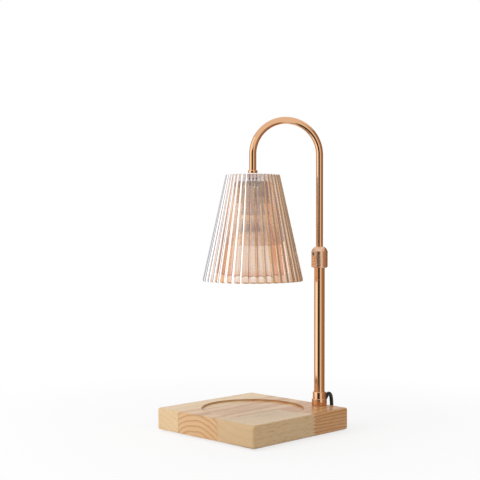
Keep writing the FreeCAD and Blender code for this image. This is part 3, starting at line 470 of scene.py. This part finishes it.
FINISHES = {
    "rose_gold": lambda c: plated_steel("polished_rose_gold_plate", c.metal, 0.075),
    "brushed_rose_gold": lambda c: plated_steel("brushed_rose_gold_plate", c.brushed, 0.26),
    "steel": lambda c: plain_metal("zinc_plated_steel", "#B9B7B1", 0.32, (500, 500, 2500)),
    "brass": lambda c: plain_metal("sprung_brass", "#C9A25A", 0.3, (1500, 1500, 1500)),
    "wood": lambda c: rubberwood("lacquered_rubberwood", c.wood),
    "rubber": lambda c: moulded("moulded_rubber", "#211F1E", 0.7, 0.5, 0.05, "#2B2927"),
    "black_pvc": lambda c: moulded("extruded_pvc", c.cord, 0.36, 0.5, 0.015, "#262322"),
    "black_case": lambda c: moulded("moulded_abs_case", "#1D1B1B", 0.45, 0.35, 0.04, "#242221"),
    "wheel_grey": lambda c: moulded("moulded_abs_wheel", "#4A4846", 0.5, 0.4, 0.03, "#53504E"),
    "nylon": lambda c: moulded("moulded_nylon", "#E4DFD2", 0.45, 0.8, 0.02, "#DAD3C4"),
    "lead": lambda c: moulded("silicone_sleeved_lead", "#D8C9A6", 0.5, 0.6, 0.03, "#CDBB93"),
    "silicone": lambda c: moulded("moulded_silicone", "#D9D6CE", 0.55, 0.8, 0.02, "#CFCBC2"),
    "ceramic": lambda c: glazed_ceramic("pressed_steatite"),
    "board": lambda c: moulded("etched_circuit_board", "#2E5B3C", 0.4, 0.7, 0.02, "#376A47"),
    "shade_glass": lambda c: lustred_glass("pressed_lustred_glass", c.glass, c.amber),
    "bulb_glass": lambda c: mirrored_glass("aluminised_lamp_glass"),
    "lens_glass": lambda c: clear_glass("pressed_lens_glass", "#FBF8F2", 0.12, 0.3),
    "capsule_glass": lambda c: clear_glass("quartz_capsule_glass", "#F7F4EE", 0.05, 0.02),
}
made_finishes = {}


def finish(slot):
    if slot not in made_finishes:
        made_finishes[slot] = FINISHES[slot](bpy.context.scene.lamp_colours)
    return made_finishes[slot]


# Cords


def cord_curve(name, points, diameter):
    """A round cord on a smooth NURBS curve whose control points are its route, in millimetres."""
    curve = bpy.data.curves.new(name, "CURVE")
    curve.dimensions = "3D"
    line = curve.splines.new("NURBS")
    line.points.add(len(points) - 1)
    line.points.foreach_set("co", np.column_stack([np.asarray(points) * MM, np.ones(len(points))]).ravel())
    line.order_u = 3
    line.use_endpoint_u = True
    curve.resolution_u = 8
    curve.bevel_depth = diameter / 2
    curve.bevel_resolution = 5
    curve.use_fill_caps = True
    piece = bpy.data.objects.new(name, curve)
    bpy.context.scene.collection.objects.link(piece)
    return piece


MAST_CORD = [
    (42.0, 72.06, 31.73), (42.0, 79.04, 38.02), (42.0, 84.6, 35.1), (41.9, 86.0, 26.1), (41.2, 87.0, 18.7),
    (37.6, 88.8, 12.3), (32.4, 90.8, 8.5), (24.5, 93.0, 7.0), (8.0, 93.0, 7.0),
]
TO_COIL = [
    (-48.0, 93.0, 7.0), (-60.5, 93.0, 7.0), (-69.4, 90.2, 5.6), (-75.6, 84.4, 3.6), (-79.0, 76.0, 2.6),
    (-79.2, 67.0, 2.5),
]
TO_PLUG = [
    (-79.2, 47.5, 6.5), (-80.4, 39.5, 4.6), (-82.0, 32.0, 2.7), (-84.4, 25.0, 2.4), (-87.2, 18.0, 3.9),
    (-89.0, 9.5, 6.0), (-89.0, -9.0, 6.0),
]
COIL_MIDDLE = (-111.0, 58.0)
COIL_TURNS = 8
COIL_POINTS = 12
COIL_RADIUS = 32.0
COIL_PITCH = 4.65
COIL_LOW = 2.45
COIL_CLIMB = 7.5


def coil_points():
    """The put-away coil, 12 points a turn: in on the lower layer, up within half a turn, out on the upper.

    The radius shrinks by a quarter pitch each quarter turn to the middle of the coil and grows again.
    Points stand 3.5% outside their turn, as far as the curve cuts inside them.
    """
    quarter = np.arange(COIL_TURNS * COIL_POINTS + 1) * 4 / COIL_POINTS
    last = 4 * COIL_TURNS
    radius = COIL_RADIUS - COIL_PITCH / 4 * (last / 2 - np.abs(quarter - last / 2))
    radius = radius / ((3 + math.cos(2 * math.pi / COIL_POINTS)) / 4)
    height = COIL_LOW + COIL_PITCH * np.clip((quarter - 2 * COIL_CLIMB) / 2, 0, 1)
    turn = -np.pi / 2 * quarter
    return np.column_stack([
        COIL_MIDDLE[0] + radius * np.cos(turn), COIL_MIDDLE[1] + radius * np.sin(turn), height,
    ])


class LAMP_OT_cords(bpy.types.Operator):
    """The cord from the mast to the dimmer, and the one from the dimmer through its coil to the plug"""

    bl_idname = "lamp.cords"
    bl_label = "Cords"

    def execute(self, context):
        across = context.scene.lamp_sizes.cord_diameter
        short = cord_curve("cord_from_mast", MAST_CORD, across)
        dress(short, finish("black_pvc"), "stand", "black_pvc", "mast_cord")
        route = np.vstack([TO_COIL, coil_points()[1:-1], TO_PLUG])
        long = cord_curve("cord_to_plug", route, across)
        dress(long, finish("black_pvc"), "stand", "black_pvc", "middle_cord", "cord_coil", "plug_cord")
        return {"FINISHED"}


# Stage


def area_light(name, at, to, size, power):
    """A soft lamp that lights the object and shows in no reflection."""
    lamp = bpy.data.lights.new(name, "AREA")
    lamp.shape = "RECTANGLE"
    lamp.size, lamp.size_y = size
    lamp.energy = power
    piece = bpy.data.objects.new(name, lamp)
    piece.location = at
    piece.rotation_euler = (Vector(to) - Vector(at)).to_track_quat("-Z", "Y").to_euler()
    piece.visible_glossy = piece.visible_transmission = False
    bpy.context.scene.collection.objects.link(piece)


def seen_rays(tree):
    """1 for rays that the camera, a mirror or clear glass sends, and 0 for the rest."""
    rays = node(tree, "LightPath").outputs
    either = maths(tree, "MAXIMUM", rays["Is Camera Ray"], rays["Is Glossy Ray"])
    return maths(tree, "MAXIMUM", either, rays["Is Transmission Ray"])


def floor_material(tint):
    """Matt paper: shown nearly white, with the lamp's shadow round its foot and none further out."""
    made, tree, shader = material("matt_paper", base_color=rgba(tint), roughness=0.9, specular_ior_level=0.1)
    glow = node(tree, "Emission", {"Color": (1, 1, 1, 1), "Strength": 1.0})
    spot = node(tree, "TexCoord").outputs["Object"]
    away = node(tree, "VectorMath", {0: spot}, operation="LENGTH").outputs[1]
    share = maths(tree, "MULTIPLY", seen_rays(tree), spread(tree, away, 0.12, 0.45, 0.75, 1.0))
    both = node(tree, "MixShader", {0: share, 1: shader.outputs[0], 2: glow.outputs[0]})
    tree.links.new(both.outputs[0], tree.nodes["Material Output"].inputs["Surface"])
    return made


# A card's paper starts this far from the mast, lies this high, and stands up at this distance
CARD_INNER = 0.13
CARD_LYING = 0.2 * MM
CARD_NEAR = 1.9


def card(name, start, stop, strength, tint, high, centre):
    """A studio card that only reflections show: an arc of paper that lies on the floor, then stands up.

    Each ring is x = cx + r cos t, y = cy + r sin t, with t in degrees.
    """
    inner, near, lying, steps = CARD_INNER, CARD_NEAR, CARD_LYING, 24
    t = np.radians(np.linspace(start, stop, steps))
    way = np.column_stack([np.cos(t), np.sin(t)])
    rows = ((inner, lying), (near, lying), (near, high))
    points = np.vstack([np.column_stack([centre + r * way, np.full(steps, z)]) for r, z in rows])
    k = np.arange(steps - 1)
    strip = np.column_stack([k, k + 1, k + 1 + steps, k + steps])
    mesh = bpy.data.meshes.new(name)
    mesh.from_pydata(points.tolist(), [], np.vstack([strip, strip + steps]).tolist())
    made = bpy.data.materials.new(name)
    made.use_nodes = True
    glow = node(made.node_tree, "Emission", {"Color": rgba(tint), "Strength": strength})
    made.node_tree.links.new(glow.outputs[0], made.node_tree.nodes["Material Output"].inputs["Surface"])
    mesh.materials.append(made)
    piece = bpy.data.objects.new(name, mesh)
    bpy.context.scene.collection.objects.link(piece)
    piece.visible_camera = piece.visible_diffuse = piece.visible_shadow = False
    piece.visible_transmission = strength > 1


# Each card's start and end round the mast, in degrees from +X, its brightness, colour and height
CARDS = (
    ("dark_card_front", -85, -38, 0.05, "#FFFFFF", 0.62),
    ("bright_card_left", -142, -95, 1.6, "#FFFAF2", 1.7),
    ("pale_card_right", -33, -4, 1.0, "#FFFFFF", 1.7),
    ("tan_card_right", -4, 58, 0.45, "#FFD4AE", 1.7),
    ("brown_card_back", 58, 112, 0.26, "#FFC796", 1.7),
    ("grey_card_left", 172, 214, 0.5, "#F4F1FA", 1.7),
)


# Soft lamps: name, place, what they point at, sides in metres and watts
LAMPS = (
    ("key", (-0.45, -1.25, 1.0), (0, 0, 0.15), (0.9, 0.9), 11),
    ("fill", (1.3, 0.3, 0.9), (0, 0, 0.15), (0.8, 0.8), 2),
    ("top", (-0.2, 0.1, 1.5), (0, 0, 0.1), (0.9, 0.9), 4),
    ("bounce", (0, 0, 0.035), (0, 0, 0.2), (0.1, 0.1), 0.3),
)
FLOOR_REACH = 4.0
FLOOR_DROP = 0.1 * MM
SOFT_LIGHT = 0.5
CAMERA_AT = (0.8006, -0.8219, 0.2296)
CAMERA_TO = (-0.00998, -0.00996, 0.2117)
CAMERA_LENS = 77.66
CAMERA_SENSOR = 36.0


class LAMP_OT_stage(bpy.types.Operator):
    """The floor, the studio lamps, the white surroundings and the camera"""

    bl_idname = "lamp.stage"
    bl_label = "Stage and camera"

    def execute(self, context):
        scene = context.scene
        side, drop = FLOOR_REACH, -FLOOR_DROP
        mesh = bpy.data.meshes.new("floor")
        corners = [(-side, -side, drop), (side, -side, drop), (side, side, drop), (-side, side, drop)]
        mesh.from_pydata(corners, [], [(0, 1, 2, 3)])
        mesh.materials.append(floor_material(scene.lamp_colours.floor))
        floor = bpy.data.objects.new("floor", mesh)
        scene.collection.objects.link(floor)

        world = bpy.data.worlds.new("studio")
        scene.world = world
        world.use_nodes = True
        tree = world.node_tree
        tree.nodes.clear()
        strength = spread(tree, seen_rays(tree), 0, 1, SOFT_LIGHT, 1.0)
        light = node(tree, "Background", {"Color": (1, 1, 1, 1), "Strength": strength})
        end = node(tree, "OutputWorld", {"Surface": light.outputs[0]})
        end.is_active_output = True

        mast = np.array([scene.lamp_sizes.mast_x, scene.lamp_sizes.mast_y])
        for each in CARDS:
            card(*each, mast)
        for each in LAMPS:
            area_light(*each)

        camera = bpy.data.objects.new("camera", bpy.data.cameras.new("camera"))
        camera.data.lens = CAMERA_LENS
        camera.data.sensor_width = CAMERA_SENSOR
        camera.data.clip_start = 0.05
        at, to = Vector(CAMERA_AT), Vector(CAMERA_TO)
        camera.location = at
        camera.rotation_euler = (to - at).to_track_quat("-Z", "Y").to_euler()
        scene.collection.objects.link(camera)
        scene.camera = camera
        scene.view_settings.view_transform = "Standard"
        return {"FINISHED"}


# Pieces


NUT_BORE = 6.2 * MM
EDGE_SOFT = 0.15 * MM


def hook_rings(sizes, radius, low, end, steps=96, around=64):
    """Rings round the hooked arm's middle line: up, over a half circle towards the shade, and down.

    On the bend the middle line is c - h R cos t + z R sin t, where h points from the mast to the shade.
    Each ring is middle + r (cos a side + sin a across), with side square to the hook's plane.
    """
    mast = np.array([sizes.mast_x, sizes.mast_y, 0.0])
    span = np.linalg.norm(mast)
    to_shade, up = -mast / span, np.array([0.0, 0.0, 1.0])
    side = np.cross(to_shade, up)
    t = np.linspace(0, np.pi, steps)[:, None]
    crown = mast / 2 + up * sizes.hook_spring
    bend = crown - to_shade * span / 2 * np.cos(t) + up * span / 2 * np.sin(t)
    across_bend = to_shade * np.cos(t) - up * np.sin(t)
    lead_in, lead_out = mast + up * low, up * end
    soft = EDGE_SOFT
    line = np.vstack([lead_in, lead_in + up * soft, bend, lead_out + up * soft, lead_out])
    across = np.vstack([to_shade, to_shade, across_bend, -to_shade, -to_shade])
    inset = np.zeros(len(line))
    inset[[0, -1]] = soft
    a = np.arange(around) * 2 * np.pi / around
    ring = np.cos(a)[None, :, None] * side + np.sin(a)[None, :, None] * across[:, None]
    return line[:, None] + ring * (radius - inset)[:, None, None]


class LAMP_OT_arm(bpy.types.Operator):
    """The hooked arm's tube and the cap nut under its end"""

    bl_idname = "lamp.arm"
    bl_label = "Hooked arm"

    def execute(self, context):
        sizes = context.scene.lamp_sizes
        outer = hook_rings(sizes, sizes.arm_diameter / 2, sizes.arm_foot, sizes.arm_end)
        inner = hook_rings(sizes, sizes.arm_diameter / 2 - sizes.arm_wall, sizes.arm_foot, sizes.arm_end)
        tube = skin("hooked_arm", np.concatenate([outer, inner[::-1]]), loop=True)
        dress(tube, finish("rose_gold"), "arm", "rose_gold", "arm_tube")
        low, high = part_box("cap_nut")
        radius, bore = box_size("cap_nut", 0) / 2, NUT_BORE / 2
        rim = softened([(bore, low.z), (radius, low.z), (radius, high.z), (bore, high.z)],
                       np.array([0.1, 0.3, 0.9, 0.1]) * MM)
        nut = turned("shade_cap_nut", rim, loop=True)
        dress(nut, finish("rose_gold"), "arm", "rose_gold", "cap_nut")
        refinish(finish("lead"), "arm_lead")
        refinish(finish("steel"), "end_nipple")
        refinish(finish("nylon"), "guide_bush")
        refinish(finish("silicone"), "gaskets")
        return {"FINISHED"}


FERRULE_FOOT = 17.0 * MM
FERRULE_NECK = 14.9 * MM
FERRULE_BORE = 12.1 * MM
FERRULE_STEP = 7.6 * MM
LEAD_DIAMETER = 3.4 * MM
LEAD_TURNS = 4


def helix_tube(name, centre, low, high, radius, turns, steps=48, around=20):
    """A round lead wound up a helix: its middle line is (cx + R cos t, cy + R sin t, z0 + p t).

    Its rings stand square to the line and fit between the heights low and high.
    """
    thick = LEAD_DIAMETER / 2
    t = np.linspace(0, 2 * np.pi * turns, steps * turns + 1)
    out = np.column_stack([np.cos(t), np.sin(t), 0 * t])
    ahead = np.column_stack([-np.sin(t), np.cos(t), 0 * t])
    run = 2 * np.pi * turns * radius
    end = thick * run / math.hypot(run, high - low)
    rise = np.linspace(low + end, high - end, len(t))
    line = np.column_stack([centre[0] + radius * out[:, 0], centre[1] + radius * out[:, 1], rise])
    slope = (rise[-1] - rise[0]) / run
    up = (np.array([0, 0, 1]) - slope * ahead) / math.hypot(1, slope)
    a = np.arange(around) * 2 * np.pi / around
    rings = line[:, None] + thick * (np.cos(a)[:, None] * out[:, None] + np.sin(a)[:, None] * up[:, None])
    return skin(name, rings, tips=(line[0], line[-1]))


class LAMP_OT_mast(bpy.types.Operator):
    """The mast's foot ferrule, its lower tube and the lead in it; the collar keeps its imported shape"""

    bl_idname = "lamp.mast"
    bl_label = "Mast"

    def execute(self, context):
        sizes = context.scene.lamp_sizes
        mast = (sizes.mast_x, sizes.mast_y)
        low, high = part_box("mast_ferrule")
        outer, neck, bore = (across / 2 for across in (FERRULE_FOOT, FERRULE_NECK, FERRULE_BORE))
        step = low.z + FERRULE_STEP
        rim = softened([
            (bore, low.z), (outer, low.z), (outer, step), (neck, step), (neck, high.z), (bore, high.z),
        ], np.array([0.1, 0.35, 0.7, 0.3, 1.1, 0.1]) * MM)
        foot = turned("mast_foot", rim, mast, loop=True)
        dress(foot, finish("rose_gold"), "stand", "rose_gold", "mast_ferrule")
        low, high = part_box("lower_tube")
        outer = box_size("lower_tube", 0) / 2
        bore = outer - sizes.tube_wall
        rim = softened([(bore, low.z), (outer, low.z), (outer, high.z), (bore, high.z)], EDGE_SOFT)
        tube = turned("mast_tube", rim, mast, loop=True)
        dress(tube, finish("rose_gold"), "stand", "rose_gold", "lower_tube")
        low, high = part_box("slack_lead")
        radius = (high.x - low.x - LEAD_DIAMETER) / 2
        lead = helix_tube("coiled_lead", mast, low.z, high.z, radius, LEAD_TURNS)
        dress(lead, finish("lead"), "stand", "lead", "slack_lead")
        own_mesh(lead)
        refinish(finish("brushed_rose_gold"), "lock_collar")
        refinish(finish("steel"), "lock_screw")
        refinish(finish("nylon"), "lock_pad")
        return {"FINISHED"}


class LAMP_OT_base(bpy.types.Operator):
    """The wooden base, its feet, and the fastening under the mast"""

    bl_idname = "lamp.base"
    bl_label = "Wooden base"

    def execute(self, context):
        refinish(finish("wood"), "base_block")
        refinish(finish("rubber"), "foot_pads")
        refinish(finish("steel"), "base_stud", "base_washer", "base_nut")
        return {"FINISHED"}


RIBS = 36
RIB_DEPTH = 0.16
RIB_STEPS = 12


class LAMP_OT_shade(bpy.types.Operator):
    """The ribbed glass shade"""

    bl_idname = "lamp.shade"
    bl_label = "Glass shade"

    def execute(self, context):
        """Each profile point (radius, height, share) goes round.

        Its radius is drawn in between two ribs by share times rib depth times the square of the way
        from the rib's crest to its valley.
        """
        sizes = context.scene.lamp_sizes
        low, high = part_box("glass_shade")
        foot, top = sizes.shade_foot / 2, sizes.shade_top / 2
        slope = (foot - top) / (high.z - low.z)
        roof = high.z - sizes.shade_roof
        inner_foot = foot - sizes.shade_wall
        inner_top = inner_foot - slope * (roof - low.z)
        hole = sizes.shade_hole / 2
        corners = [
            (hole, high.z, 0), (top, high.z, 1), (foot, low.z, 1), (inner_foot, low.z, 0),
            (inner_top, roof, 0), (hole, roof, 0),
        ]
        profile = softened(corners, np.array([0.4, 2.0, 2.4, 2.3, 2.5, 0.4]) * MM, 8)
        steps = RIBS * RIB_STEPS
        turn = np.arange(steps) * 2 * np.pi / steps
        off_crest = 2 * np.abs(turn * RIBS / (2 * np.pi) % 1 - 0.5)
        radius, height, share = (profile[:, k, None] for k in range(3))
        depth = RIB_DEPTH * 2 * np.pi * radius / RIBS
        bent = radius - share * depth * off_crest ** 2
        grid = np.stack([bent * np.cos(turn), bent * np.sin(turn), height + 0 * turn], -1)
        shade = skin("ribbed_glass_shade", grid, loop=True)
        mesh = shade.data
        corner = np.zeros(len(mesh.loops), np.int32)
        mesh.loops.foreach_get("vertex_index", corner)
        column = corner % steps
        faces = column.reshape(-1, 4)
        on_the_seam = (faces.max(1) - faces.min(1) > steps / 2)[:, None] & (faces < steps / 2)
        wrapped = np.where(on_the_seam, faces + steps, faces)
        row_height = profile[corner // steps, 1]
        uv = np.column_stack([wrapped.ravel() / steps, (row_height - low.z) / (high.z - low.z)])
        mesh.uv_layers.new(name="ribs").data.foreach_set("uv", uv.astype(np.float32).ravel())
        dress(shade, finish("shade_glass"), "arm", "shade_glass", "glass_shade")
        return {"FINISHED"}


RIPPLE_DEPTH = 0.22 * MM
RIPPLE_LENGTH = 2 * np.pi / 2.2 * MM
RIPPLE_SPOKES = 24
LENS_RAISED = 0.3 * MM


class LAMP_OT_bulb(bpy.types.Operator):
    """The reflector bulb: its mirrored bowl, front lens, capsule, ceramic base and pins"""

    bl_idname = "lamp.bulb"
    bl_label = "Bulb"

    def execute(self, context):
        """The bowl's wall is offset inwards from its outline; the lens has rings of shallow waves:
        height = depth cos(k r) cos(m t)."""
        sizes = context.scene.lamp_sizes
        low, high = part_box("bulb_reflector")
        rim, wall = sizes.bulb_diameter / 2, 1.4 * MM
        outline = np.array([
            (rim, low.z), (rim, low.z + 6 * MM), (rim - 3.2 * MM, low.z + 14 * MM),
            (rim - 8 * MM, low.z + 22 * MM), (12.8 * MM, low.z + 30 * MM), (12 * MM, high.z),
        ])
        seat, roof = 3 * MM, high.z - 4 * MM
        inside = outline[::-1] - (wall, 0)
        inside[0, 1] = roof
        profile = softened(
            np.vstack([outline, [(seat, high.z), (seat, roof)], inside]),
            np.array([0.6, 2, 3, 3, 3, 0.5, 0.3, 0.3, 1, 3, 3, 3, 2, 0.4]) * MM, 5,
        )
        bowl = turned("reflector_bowl", profile, loop=True)
        dress(bowl, finish("bulb_glass"), "bulb", "bulb_glass", "bulb_reflector")

        foot, top = (p.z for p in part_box("bulb_lens"))
        radius = box_size("bulb_lens", 0) / 2
        turn = np.arange(144) * 2 * np.pi / 144
        reach = np.linspace(0.02, 1, 60)[:, None] * (radius - 0.5 * MM)
        ripple = RIPPLE_DEPTH * np.cos(reach * 2 * np.pi / RIPPLE_LENGTH) * np.cos(RIPPLE_SPOKES * turn)
        under = np.stack([reach * np.cos(turn), reach * np.sin(turn), foot + LENS_RAISED + ripple], -1)
        edge = np.array([
            (radius, foot + 0.6 * MM), (radius, top - 0.2 * MM), (radius - 0.3 * MM, top), (0.4 * MM, top),
        ])
        reach, height = edge[:, :1], edge[:, 1:]
        sides = np.stack([reach * np.cos(turn), reach * np.sin(turn), height + 0 * turn], -1)
        tips = ((0, 0, foot + LENS_RAISED), (0, 0, top))
        lens = skin("rippled_lens", np.concatenate([under, sides]), tips=tips)
        dress(lens, finish("lens_glass"), "bulb", "lens_glass", "bulb_lens")

        foot, top = (p.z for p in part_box("bulb_capsule"))
        radius = box_size("bulb_capsule", 0) / 2
        t = np.linspace(0.06, 1, 14) * np.pi / 2
        dome = np.column_stack([radius * np.sin(t), foot + radius * (1 - np.cos(t))])
        shell = np.vstack([dome, [(radius, top - 2 * MM), (radius - 0.6 * MM, top)]])
        capsule = turned("lamp_capsule", shell, steps=48, tips=((0, 0, foot), (0, 0, top)))
        dress(capsule, finish("capsule_glass"), "bulb", "bulb_glass", "bulb_capsule")
        refinish(finish("ceramic"), "bulb_base")
        refinish(finish("steel"), "bulb_pins")
        return {"FINISHED"}


class LAMP_OT_holder(bpy.types.Operator):
    """The twist-lock lampholder, its bracket and its screws"""

    bl_idname = "lamp.holder"
    bl_label = "Lampholder"

    def execute(self, context):
        refinish(finish("ceramic"), "holder_body", "holder_cap")
        refinish(finish("steel"), "holder_bracket", "lock_nut", "holder_screws")
        refinish(finish("brass"), "holder_contacts")
        return {"FINISHED"}


class LAMP_OT_cord_fittings(bpy.types.Operator):
    """The boot, the dimmer, the tie and the plug"""

    bl_idname = "lamp.cord_fittings"
    bl_label = "Dimmer and plug"

    def execute(self, context):
        refinish(finish("rubber"), "cord_boot", "dimmer_reliefs")
        refinish(finish("black_case"), "dimmer_base", "dimmer_cover", "cord_tie")
        refinish(finish("wheel_grey"), "dimmer_wheel")
        refinish(finish("board"), "dimmer_board")
        refinish(finish("steel"), "dimmer_screws")
        refinish(finish("black_pvc"), "plug_body")
        refinish(finish("brass"), "plug_pins")
        return {"FINISHED"}


STEPS = (
    LAMP_OT_stage, LAMP_OT_cords, LAMP_OT_base, LAMP_OT_mast, LAMP_OT_arm,
    LAMP_OT_shade, LAMP_OT_bulb, LAMP_OT_holder, LAMP_OT_cord_fittings,
)


class LAMP_PT_panel(bpy.types.Panel):
    """Lists the lamp's sizes, colours and building steps"""

    bl_idname = "LAMP_PT_panel"
    bl_label = "Candle warmer lamp"
    bl_space_type = "VIEW_3D"
    bl_region_type = "UI"
    bl_category = "Lamp"

    def draw(self, context):
        for group in (context.scene.lamp_sizes, context.scene.lamp_colours):
            for name in group.__annotations__:
                self.layout.prop(group, name)
        for step in STEPS:
            self.layout.operator(step.bl_idname)


CLASSES = (LampSizes, LampColours, *STEPS, LAMP_PT_panel)


def register():
    for made in CLASSES:
        bpy.utils.register_class(made)
    bpy.types.Scene.lamp_sizes = bpy.props.PointerProperty(type=LampSizes)
    bpy.types.Scene.lamp_colours = bpy.props.PointerProperty(type=LampColours)


def unregister():
    del bpy.types.Scene.lamp_colours
    del bpy.types.Scene.lamp_sizes
    for made in reversed(CLASSES):
        bpy.utils.unregister_class(made)


def main():
    register()
    for step in STEPS:
        group, name = step.bl_idname.split(".")
        getattr(getattr(bpy.ops, group), name)()


if __name__ == "__main__":
    main()
